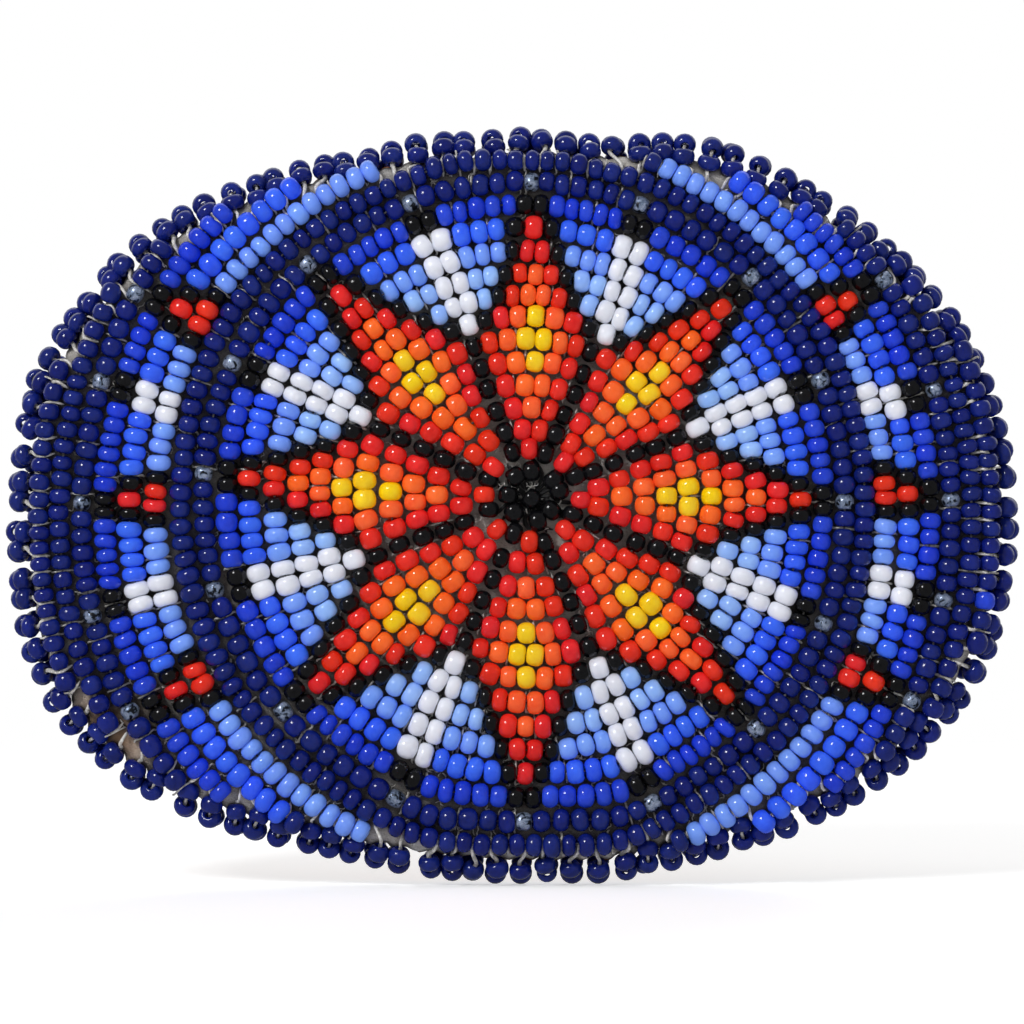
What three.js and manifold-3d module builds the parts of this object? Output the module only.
// Oval beaded belt buckle, upright as worn: +X to the viewer's right, +Z up,
// beaded face towards -Y, leather back and belt hardware towards +Y.
// Millimetres. Origin: centre of the flat rear face of the leather back.
import * as THREE from "three";
import { mergeVertices } from "three/addons/utils/BufferGeometryUtils.js";
import Module from "manifold-3d";

// ---------------------------------------------------------------- dimensions
// oval outline over the edge beads (superellipse semi-axes and exponent)
const HALF_WIDTH = 47.75;
const HALF_HEIGHT = 35.75;
const OVAL_POWER = 2.28;
const OVAL_CENTRE_Z = -0.1;
const OVAL_SEGMENTS = 64;

// layers, stacked from the rear face (y = 0) to the face (negative y)
const LEATHER_T = 1.6;
const PLATE_T = 1.2;
const INTERFACING_T = 1.2;
const GLUE_GAP = 0.05;
const PLATE_REAR_Y = -(LEATHER_T + GLUE_GAP);
const PLATE_FRONT_Y = PLATE_REAR_Y - PLATE_T;
const TRAY_Y = PLATE_FRONT_Y - GLUE_GAP; // floor of the recess for the plate
const FACE_Y = TRAY_Y - INTERFACING_T;
const BEADING_REAR_Y = FACE_Y - GLUE_GAP;

// layer outlines, as insets from the oval
const CORE_INSET = 2.5; // side wall of leather and interfacing
const LEATHER_FLAT_INSET = 3.5; // where the rear face starts, inside the bevel
const LEATHER_BEVEL_DEPTH = 0.8;
const FACE_FLAT_INSET = 3.3; // where the front face starts, inside the bevel
const FACE_BEVEL_DEPTH = 0.7;
const PLATE_INSET = 6.4;
const TRAY_INSET = 6.0; // mouth of the recess in the interfacing
const TRAY_TAPER = 0.2; // how much further in its floor starts

// bead lanes: 2.1 mm seed beads couched side by side
const BEAD_R = 1.03; // half depth of a lane
const LANE_HALF_W = 0.92;
const LANE_SHOULDER = 0.5; // half depth of a lane at its sides
const LANE_PITCH = 2.168;
const LANE_1_R = 2.3; // the eight beads round the centre bead
const LANE_2_R = 4.39;
const LAST_LANE_R = 32.5; // the last full lane is pulled in a little
const LANE_Y = BEADING_REAR_Y - BEAD_R;
const CENTRE_X = 1.7; // the star's centre sits right of the oval's centre
const CENTRE_Z = 0.63;
const DRIFT_X = -0.053; // centre shift towards the middle, times lane number
const DRIFT_Z = -0.00364; // the same, times lane number squared
const SAGITTA = 0.12; // faceting allowed on an inner lane
const FINE_SAGITTA = 0.05; // and on the outer ones, which lie closer together
const FINE_FROM_R = 27;

// centre bead
const CENTRE_BEAD_HALF_LENGTH = 0.74;
const CENTRE_BEAD_END_R = 0.85;
const CENTRE_BEAD_HOLE_R = 0.4;
const CENTRE_BEAD_FLAT = 0.3; // half length of its full-radius band
const CENTRE_BEAD_TURN = 0.3; // radians about Y

const BLACK = 0x1b1b1d;
const RED = 0xd8301f;
const ORANGE = 0xee5f24;
const PALE = 0xa9c4ee;
const CORNFLOWER = 0x6b97ea;
const BLUE = 0x3a5fe0;
const ROYAL = 0x2138b4;
const NAVY = 0x1a2468;

// full lanes, from lane 1 outwards
const FULL_LANE_COLOURS = [
  BLACK, RED, RED, RED, ORANGE, ORANGE, ORANGE, RED,
  PALE, PALE, CORNFLOWER, BLUE, ROYAL, NAVY, NAVY,
];

// partial lanes that fill the two ends, numbered on from the full ones;
// left and right: centre x, centre z, radius
const ARC_LANES = [
  { color: CORNFLOWER, left: [0.62, -0.2, 34.62], right: [0.3, -0.35, 35.12] },
  { color: BLUE, left: [0.6, -0.22, 36.92], right: [-0.3, -0.6, 37.81] },
  { color: ROYAL, left: [0.8, -0.25, 39.43], right: [-0.6, -0.85, 40.09] },
  { color: NAVY, left: [1.96, -0.46, 42.78], right: [-1.2, -1.0, 42.67] },
  { color: NAVY, left: [4.57, -0.94, 47.56], right: [-3.46, -1.2, 46.88] },
  { color: NAVY, left: [7.6, -1.18, 52.75], right: [-7.3, -1.4, 52.64] },
];
const ARC_END_INSET = 2.3; // lanes stop this far inside the oval
const ARC_SEARCH_STEP = 0.005; // radians, in finding where they stop

// wrapped edge: three beads per stitch round the rim
const EDGE_MID_Y = BEADING_REAR_Y / 2;
const EDGE_STEP_Y = 1.545;
const EDGE_SHOULDER = 0.45; // height of a loop's sides, as a share of its own
const EDGE_LOOPS = [
  { name: "front", inset: 1.4, y: EDGE_MID_Y - EDGE_STEP_Y, halfW: 0.86, halfH: 0.8 },
  { name: "rim", inset: 1.0, y: EDGE_MID_Y, halfW: 0.95, halfH: 0.68 },
  { name: "back", inset: 1.4, y: EDGE_MID_Y + EDGE_STEP_Y, halfW: 0.86, halfH: 0.8 },
];

// strap loop (bail): 3.2 mm wire, stubs turned in along the hinge axis
const WIRE_R = 1.6;
const WIRE_SIDES = 12;
const HINGE_X = 17.5;
const HINGE_Y = 1.95;
const LOOP_REACH = 17.5; // hinge axis to the outer bar's centre line
const LOOP_HALF_H = 21.6; // 40 mm clear for a 38 mm strap
const LOOP_CORNER_R = 3.4;
const LOOP_CORNER_STEPS = 4;
const STUB_LENGTH = 11.499; // straight part, from the end of the corner

// chamfered feet of the hinge block and the belt hook, behind the plate
const FOOT_Y = PLATE_REAR_Y + 0.02;
const FOOT_T = 1.1;
const FOOT_SHOULDER = FOOT_T * 0.6; // height where the chamfer starts
const FOOT_CHAMFER = 0.5; // its width

// hinge block
const BLOCK_LENGTH = 27;
const BLOCK_HALF_W = 3.1;
const BLOCK_HOLE_R = 1.8;
const FLANGE_HALF_W = 6.6;

// belt hook
const HOOK_X = -31.5;
const HOOK_BASE_R = 4.6;
const HOOK_BASE_SEGMENTS = 24;
const HOOK_R = 1.65;
const HOOK_HEIGHT = 9.4;
const HOOK_LEAN = 20; // degrees, tip towards the strap loop
const PEG_X = -0.6; // centre of the peg's foot, from the centre of the base
const PEG_Y = 0.9;

// windows in the leather round the two feet
const WINDOW_MARGIN = 0.5;
const WINDOW_CUT_DEPTH = 6; // cutters are centred on the rear face

// ----------------------------------------------------------------- materials
const finish = (color, roughness, metalness) =>
  new THREE.MeshStandardMaterial({ color, roughness, metalness });
const glass = (color) => finish(color, 0.15, 0);
const metal = (color, roughness) => finish(color, roughness, 1);
const matte = (color, roughness) => finish(color, roughness, 0);

// ------------------------------------------------------------------- helpers
const wasm = await Module();
wasm.setup();

const group = new THREE.Group();

function add(name, geometry, material, x = 0, y = 0, z = 0) {
  const mesh = new THREE.Mesh(geometry, material);
  mesh.name = name;
  mesh.position.set(x, y, z);
  group.add(mesh);
  return mesh;
}

function toSolid(geometry) {
  const bare = geometry.clone();
  for (const name of Object.keys(bare.attributes)) {
    if (name !== "position") bare.deleteAttribute(name);
  }
  const merged = mergeVertices(bare, 1e-4);
  return new wasm.Manifold(
    new wasm.Mesh({
      numProp: 3,
      vertProperties: new Float32Array(merged.attributes.position.array),
      triVerts: new Uint32Array(merged.index.array),
    }),
  );
}

function meshGeometry(positions, indices) {
  const geometry = new THREE.BufferGeometry();
  geometry.setAttribute("position", new THREE.Float32BufferAttribute(positions, 3));
  geometry.setIndex(indices);
  geometry.computeVertexNormals();
  return geometry;
}

function fromSolid(solid) {
  const mesh = solid.getMesh();
  return meshGeometry(mesh.vertProperties, Array.from(mesh.triVerts));
}

// closed surface, with its triangles turned round if they face inwards
function closedSurface(points, triangles) {
  let volume = 0;
  for (const [a, b, c] of triangles) {
    const [ax, ay, az] = points[a];
    const [bx, by, bz] = points[b];
    const [cx, cy, cz] = points[c];
    volume += ax * (by * cz - bz * cy) - ay * (bx * cz - bz * cx) + az * (bx * cy - by * cx);
  }
  const faces = volume < 0 ? triangles.map(([a, b, c]) => [a, c, b]) : triangles;
  return meshGeometry(points.flat(), faces.flat());
}

// lathe about Y from [radius, y] rows
function lathe(profile, segments) {
  const points = profile.map(([radius, y]) => new THREE.Vector2(radius, y));
  return new THREE.LatheGeometry(points, segments);
}

// a point [x, z] of the oval, moved in by inset, at parameter t
function ovalPoint(t, inset) {
  const cos = Math.cos(t);
  const sin = Math.sin(t);
  const power = 2 / OVAL_POWER;
  return [
    (HALF_WIDTH - inset) * Math.sign(cos) * Math.abs(cos) ** power,
    (HALF_HEIGHT - inset) * Math.sign(sin) * Math.abs(sin) ** power + OVAL_CENTRE_Z,
  ];
}

function insideOval([x, z], inset) {
  const across = Math.abs(x / (HALF_WIDTH - inset)) ** OVAL_POWER;
  const up = Math.abs((z - OVAL_CENTRE_Z) / (HALF_HEIGHT - inset)) ** OVAL_POWER;
  return across + up < 1;
}

// oval disc with a stepped or bevelled profile: [inset, y] from the rear
// centre out to the rim and back in to the front centre
function ovalDisc(profile) {
  const count = OVAL_SEGMENTS;
  const lastRing = profile.length - 1;
  const points = [[0, profile[0][1], OVAL_CENTRE_Z]];
  for (const [inset, y] of profile) {
    for (let i = 0; i < count; i++) {
      const [x, z] = ovalPoint((i / count) * 2 * Math.PI, inset);
      points.push([x, y, z]);
    }
  }
  const frontCentre = points.length;
  points.push([0, profile[lastRing][1], OVAL_CENTRE_Z]);

  const at = (ring, i) => 1 + ring * count + (i % count);
  const triangles = [];
  for (let i = 0; i < count; i++) {
    triangles.push([0, at(0, i), at(0, i + 1)]);
    for (let ring = 0; ring < lastRing; ring++) {
      triangles.push([at(ring, i), at(ring + 1, i), at(ring + 1, i + 1)]);
      triangles.push([at(ring, i), at(ring + 1, i + 1), at(ring, i + 1)]);
    }
    triangles.push([frontCentre, at(lastRing, i + 1), at(lastRing, i)]);
  }
  return closedSurface(points, triangles);
}

// sweeps a section [[u, v], ...] along stations {x, z, nx, nz} in the XZ
// plane: u runs along the station's normal, v along Y
function sweep(stations, section, { y = 0, closed = false } = {}) {
  const sides = section.length;
  const rows = stations.length;
  const points = stations.flatMap(({ x, z, nx, nz }) =>
    section.map(([u, v]) => [x + nx * u, y + v, z + nz * u]),
  );
  const at = (i, j) => (i % rows) * sides + (j % sides);
  const triangles = [];
  for (let i = 0; i < (closed ? rows : rows - 1); i++) {
    for (let j = 0; j < sides; j++) {
      triangles.push([at(i, j), at(i + 1, j), at(i + 1, j + 1)]);
      triangles.push([at(i, j), at(i + 1, j + 1), at(i, j + 1)]);
    }
  }
  if (!closed) {
    const end = (rows - 1) * sides;
    for (let j = 1; j + 1 < sides; j++) {
      triangles.push([0, j, j + 1]);
      triangles.push([end, end + j + 1, end + j]);
    }
  }
  return closedSurface(points, triangles);
}

// six-sided bead section: flat at both sides, ridged front and back
const beadSection = (halfW, shoulder, halfDepth) => [
  [halfW, -shoulder],
  [halfW, shoulder],
  [0, halfDepth],
  [-halfW, shoulder],
  [-halfW, -shoulder],
  [0, -halfDepth],
];

// ------------------------------------------------------------ beaded surface
const LANE_SECTION = beadSection(LANE_HALF_W, LANE_SHOULDER, BEAD_R);

function laneSegments(radius, angle) {
  const sagitta = radius > FINE_FROM_R ? FINE_SAGITTA : SAGITTA;
  return Math.ceil(angle / (2 * Math.acos(1 - sagitta / radius)));
}

const laneName = (lane) => "bead_lane_" + String(lane).padStart(2, "0");

// one bead at the centre, its hole facing sideways
function addCentreBead() {
  const half = CENTRE_BEAD_HALF_LENGTH;
  const bead = lathe(
    [
      [CENTRE_BEAD_HOLE_R, -half],
      [CENTRE_BEAD_END_R, -half],
      [BEAD_R, -CENTRE_BEAD_FLAT],
      [BEAD_R, CENTRE_BEAD_FLAT],
      [CENTRE_BEAD_END_R, half],
      [CENTRE_BEAD_HOLE_R, half],
      [CENTRE_BEAD_HOLE_R, -half],
    ],
    12,
  );
  bead.rotateZ(Math.PI / 2);
  const mesh = add("centre_bead", bead, glass(BLACK), CENTRE_X, LANE_Y, CENTRE_Z);
  mesh.rotation.y = CENTRE_BEAD_TURN;
}

function fullLaneRadius(lane) {
  if (lane === 1) return LANE_1_R;
  if (lane === FULL_LANE_COLOURS.length) return LAST_LANE_R;
  return LANE_2_R + LANE_PITCH * (lane - 2);
}

// full lanes: rings whose profile closes on itself
function addFullLanes() {
  FULL_LANE_COLOURS.forEach((color, i) => {
    const lane = i + 1;
    const radius = fullLaneRadius(lane);
    const profile = [...LANE_SECTION, LANE_SECTION[0]].map(([u, v]) => [radius + u, v]);
    const ring = lathe(profile, laneSegments(radius, 2 * Math.PI));
    const x = CENTRE_X + DRIFT_X * lane;
    const z = CENTRE_Z + DRIFT_Z * lane * lane;
    add(laneName(lane), ring, glass(color), x, LANE_Y, z);
  });
}

// a partial lane: an arc that stops where it meets the oval;
// side is -1 for the left end, 1 for the right
function arcLane([centreX, centreZ, radius], side) {
  const pointAt = (angle) => [
    centreX + side * radius * Math.cos(angle),
    centreZ + radius * Math.sin(angle),
  ];
  const findEnd = (step) => {
    let angle = 0;
    while (insideOval(pointAt(angle + step), ARC_END_INSET)) angle += step;
    return angle;
  };
  const low = findEnd(-ARC_SEARCH_STEP);
  const high = findEnd(ARC_SEARCH_STEP);
  const steps = laneSegments(radius, high - low);
  const stations = [];
  for (let i = 0; i <= steps; i++) {
    const angle = low + ((high - low) * i) / steps;
    const [x, z] = pointAt(angle);
    stations.push({ x, z, nx: side * Math.cos(angle), nz: Math.sin(angle) });
  }
  return sweep(stations, LANE_SECTION);
}

function addArcLanes() {
  for (const [end, side] of [["left", -1], ["right", 1]]) {
    ARC_LANES.forEach((arc, i) => {
      const name = laneName(FULL_LANE_COLOURS.length + 1 + i) + "_" + end;
      add(name, arcLane(arc[end], side), glass(arc.color), 0, LANE_Y, 0);
    });
  }
}

// wrapped edge beading, one closed loop
function addEdgeLoop({ name, inset, y, halfW, halfH }) {
  const tangentStep = 1e-3; // in t, either side of the station
  const stations = [];
  for (let i = 0; i < OVAL_SEGMENTS; i++) {
    const t = (i / OVAL_SEGMENTS) * 2 * Math.PI;
    const [x, z] = ovalPoint(t, inset);
    const [nextX, nextZ] = ovalPoint(t + tangentStep, inset);
    const [prevX, prevZ] = ovalPoint(t - tangentStep, inset);
    const dx = nextX - prevX;
    const dz = nextZ - prevZ;
    const length = Math.hypot(dx, dz);
    stations.push({ x, z, nx: dz / length, nz: -dx / length });
  }
  const section = beadSection(halfW, halfH * EDGE_SHOULDER, halfH);
  add("edge_beads_" + name, sweep(stations, section, { y, closed: true }), glass(NAVY));
}

// -------------------------------------------------------------------- layers
function addInterfacing() {
  const disc = ovalDisc([
    [TRAY_INSET + TRAY_TAPER, TRAY_Y],
    [TRAY_INSET, PLATE_REAR_Y],
    [CORE_INSET, PLATE_REAR_Y],
    [CORE_INSET, FACE_Y + FACE_BEVEL_DEPTH],
    [FACE_FLAT_INSET, FACE_Y],
  ]);
  add("beading_interfacing", disc, matte(0xd8d7d4, 0.95));
}

function addPlate() {
  const disc = ovalDisc([[PLATE_INSET, PLATE_REAR_Y], [PLATE_INSET, PLATE_FRONT_Y]]);
  add("buckle_plate", disc, metal(0x8f9296, 0.4));
}

// leather sheet with a window for each foot
function addLeather() {
  const sheet = ovalDisc([
    [LEATHER_FLAT_INSET, 0],
    [CORE_INSET, -LEATHER_BEVEL_DEPTH],
    [CORE_INSET, -LEATHER_T],
  ]);
  const blockWindow = new THREE.BoxGeometry(
    2 * (FLANGE_HALF_W + WINDOW_MARGIN),
    WINDOW_CUT_DEPTH,
    BLOCK_LENGTH + 2 * WINDOW_MARGIN,
  ).translate(HINGE_X, 0, 0);
  const windowR = HOOK_BASE_R + WINDOW_MARGIN;
  const hookWindow = new THREE.CylinderGeometry(
    windowR, windowR, WINDOW_CUT_DEPTH, HOOK_BASE_SEGMENTS,
  ).translate(HOOK_X, 0, 0);
  const cut = toSolid(sheet).subtract(toSolid(blockWindow)).subtract(toSolid(hookWindow));
  add("leather_back", fromSolid(cut), matte(0x8a5a34, 0.85));
}

// ------------------------------------------------------------------ hardware
// rectangular wire loop with rounded corners and its two ends turned in
function addStrapLoop() {
  const nearX = LOOP_CORNER_R;
  const farX = LOOP_REACH - LOOP_CORNER_R;
  const cornerZ = LOOP_HALF_H - LOOP_CORNER_R;
  const stubEndZ = cornerZ - STUB_LENGTH;

  // quarter turn about (centreX, centreZ)
  const corner = (centreX, centreZ, startAngle) =>
    Array.from({ length: LOOP_CORNER_STEPS + 1 }, (_, i) => {
      const angle = startAngle + (i / LOOP_CORNER_STEPS) * (Math.PI / 2);
      const nx = Math.cos(angle);
      const nz = Math.sin(angle);
      return { x: centreX + LOOP_CORNER_R * nx, z: centreZ + LOOP_CORNER_R * nz, nx, nz };
    });
  const stations = [
    { x: 0, z: -stubEndZ, nx: -1, nz: 0 },
    ...corner(nearX, -cornerZ, Math.PI),
    ...corner(farX, -cornerZ, 1.5 * Math.PI),
    ...corner(farX, cornerZ, 0),
    ...corner(nearX, cornerZ, 0.5 * Math.PI),
    { x: 0, z: stubEndZ, nx: -1, nz: 0 },
  ];

  // polygon whose flats touch the wire's circle
  const polygonR = WIRE_R / Math.cos(Math.PI / WIRE_SIDES);
  const section = Array.from({ length: WIRE_SIDES }, (_, i) => {
    const angle = ((i + 0.5) / WIRE_SIDES) * 2 * Math.PI;
    return [polygonR * Math.cos(angle), polygonR * Math.sin(angle)];
  });
  add("strap_loop", sweep(stations, section), metal(0xb4b6b9, 0.3), HINGE_X, HINGE_Y, 0);
}

// round-topped block with a flange, bored for the loop's stubs
function addHingeBlock() {
  const base = FOOT_Y - HINGE_Y;
  const rightSide = [
    [FLANGE_HALF_W, base],
    [FLANGE_HALF_W, base + FOOT_SHOULDER],
    [FLANGE_HALF_W - FOOT_CHAMFER, base + FOOT_T],
    [BLOCK_HALF_W, base + FOOT_T],
  ];
  const outline = new THREE.Shape();
  outline.moveTo(-FLANGE_HALF_W, base);
  for (const [x, y] of rightSide) outline.lineTo(x, y);
  outline.absarc(0, 0, BLOCK_HALF_W, 0, Math.PI, false);
  for (const [x, y] of rightSide.slice(1).reverse()) outline.lineTo(-x, y);
  outline.closePath();
  const bore = new THREE.Path();
  bore.absarc(0, 0, BLOCK_HOLE_R, 0, 2 * Math.PI, true);
  outline.holes.push(bore);
  const block = new THREE.ExtrudeGeometry(outline, {
    depth: BLOCK_LENGTH,
    bevelEnabled: false,
    curveSegments: 12,
  }).translate(0, 0, -BLOCK_LENGTH / 2);
  add("hinge_block", block, metal(0xa6a8ab, 0.35), HINGE_X, HINGE_Y, 0);
}

// a leaning peg on a round base
function addBeltHook() {
  const base = lathe(
    [
      [0, 0],
      [HOOK_BASE_R, 0],
      [HOOK_BASE_R, FOOT_SHOULDER],
      [HOOK_BASE_R - FOOT_CHAMFER, FOOT_T],
      [0, FOOT_T],
    ],
    HOOK_BASE_SEGMENTS,
  );
  // flared foot, straight shank, slightly wider rounded tip
  const peg = lathe(
    [
      [0, 0],
      [HOOK_R + 0.25, 0],
      [HOOK_R, 1.2],
      [HOOK_R, HOOK_HEIGHT - 2.2],
      [HOOK_R + 0.3, HOOK_HEIGHT - 1.3],
      [HOOK_R + 0.15, HOOK_HEIGHT - 0.6],
      [HOOK_R * 0.6, HOOK_HEIGHT - 0.1],
      [0, HOOK_HEIGHT],
    ],
    16,
  );
  peg.rotateZ(-THREE.MathUtils.degToRad(HOOK_LEAN));
  peg.translate(PEG_X, PEG_Y, 0);
  const hook = toSolid(base).add(toSolid(peg));
  add("belt_hook", fromSolid(hook), metal(0xa6a8ab, 0.32), HOOK_X, FOOT_Y, 0);
}

// ------------------------------------------------------------------ assembly
addCentreBead();
addFullLanes();
addArcLanes();
EDGE_LOOPS.forEach(addEdgeLoop);
addInterfacing();
addPlate();
addLeather();
addStrapLoop();
addHingeBlock();
addBeltHook();

export default group;
